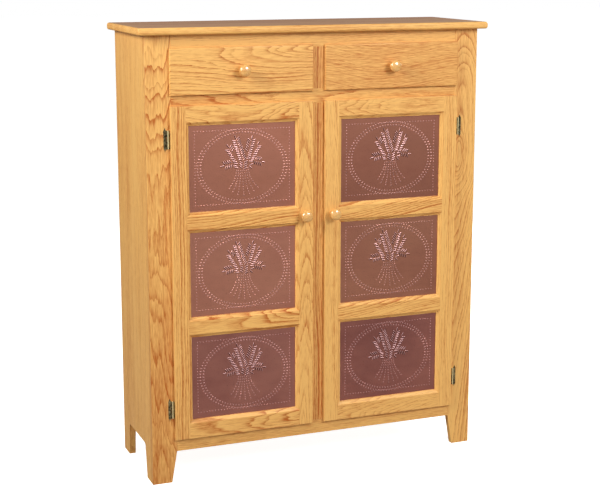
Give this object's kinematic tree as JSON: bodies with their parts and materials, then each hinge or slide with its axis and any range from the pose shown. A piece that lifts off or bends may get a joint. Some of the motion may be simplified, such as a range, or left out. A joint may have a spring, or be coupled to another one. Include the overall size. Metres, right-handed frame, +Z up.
{
  "type": "pie safe",
  "caption": "Freestanding oak cupboard with drawers above lipped frame-and-panel doors that hold punched copper sheets, on tapered bracket feet.",
  "frame": {"origin": "on the floor, at the middle of the whole object's width and depth, knobs included", "axes": "+Z up, the doors and drawers face -Y, +X to the right of someone facing the front"},
  "size_m": [1.0614, 0.3726, 1.3046],
  "materials": {
    "oak_honey": "honey oak, open pores filled, semi-gloss lacquer",
    "oak_inside": "honey oak, thin lacquer",
    "oak_plywood": "oak-faced plywood, thin lacquer",
    "copper_sheet": "copper sheet, brown patina, satin",
    "antique_brass": "darkened antique brass, satin",
    "plated_steel": "zinc-plated steel",
    "catch_housing": "brown moulded housing, matt"
  },
  "bodies": {
    "cabinet": {"back_panel": "oak_plywood", "back_rails": "oak_inside", "bottom_board": "oak_inside", "bottom_rail": "oak_honey", "door_catches": "catch_housing", "door_mullion": "oak_honey", "drawer_deck": "oak_inside", "drawer_guides": "oak_inside", "drawer_kickers": "oak_inside", "drawer_mullion": "oak_honey", "hinge_frame_leaves": "antique_brass", "hinge_pins": "antique_brass", "hinge_screws": "antique_brass", "lower_shelf": "oak_inside", "middle_rail": "oak_honey", "shelf_cleats": "oak_inside", "side_panel_left": "oak_honey", "side_panel_right": "oak_honey", "stile_left": "oak_honey", "stile_right": "oak_honey", "top_board": "oak_honey", "top_rail": "oak_honey", "upper_shelf": "oak_inside"},
    "left_door": {"left_door_bottom_rail": "oak_honey", "left_door_hinge_leaves": "antique_brass", "left_door_hinge_screws": "antique_brass", "left_door_inner_stile": "oak_honey", "left_door_knob": "oak_honey", "left_door_lower_panel": "copper_sheet", "left_door_middle_panel": "copper_sheet", "left_door_middle_rails": "oak_honey", "left_door_outer_stile": "oak_honey", "left_door_panel_stops": "oak_honey", "left_door_strike_plate": "plated_steel", "left_door_top_rail": "oak_honey", "left_door_upper_panel": "copper_sheet"},
    "right_door": {"right_door_bottom_rail": "oak_honey", "right_door_hinge_leaves": "antique_brass", "right_door_hinge_screws": "antique_brass", "right_door_inner_stile": "oak_honey", "right_door_knob": "oak_honey", "right_door_lower_panel": "copper_sheet", "right_door_middle_panel": "copper_sheet", "right_door_middle_rails": "oak_honey", "right_door_outer_stile": "oak_honey", "right_door_panel_stops": "oak_honey", "right_door_strike_plate": "plated_steel", "right_door_top_rail": "oak_honey", "right_door_upper_panel": "copper_sheet"},
    "left_drawer": {"left_drawer_back": "oak_inside", "left_drawer_bottom": "oak_plywood", "left_drawer_front": "oak_honey", "left_drawer_knob": "oak_honey", "left_drawer_sides": "oak_inside"},
    "right_drawer": {"right_drawer_back": "oak_inside", "right_drawer_bottom": "oak_plywood", "right_drawer_front": "oak_honey", "right_drawer_knob": "oak_honey", "right_drawer_sides": "oak_inside"}
  },
  "joints": [
    {"name": "left_door_hinge", "type": "hinge", "parent": "cabinet", "child": "left_door", "pos_m": [-0.4475, -0.14995, 0.60825], "axis": [0, 0, -1], "range_deg": [0, 120]},
    {"name": "right_door_hinge", "type": "hinge", "parent": "cabinet", "child": "right_door", "pos_m": [0.4475, -0.14995, 0.60825], "axis": [0, 0, 1], "range_deg": [0, 120]},
    {"name": "left_drawer_slide", "type": "slide", "parent": "cabinet", "child": "left_drawer", "axis": [0, -1, 0], "range_m": [0, 0.22]},
    {"name": "right_drawer_slide", "type": "slide", "parent": "cabinet", "child": "right_drawer", "axis": [0, -1, 0], "range_m": [0, 0.22]}
  ]
}
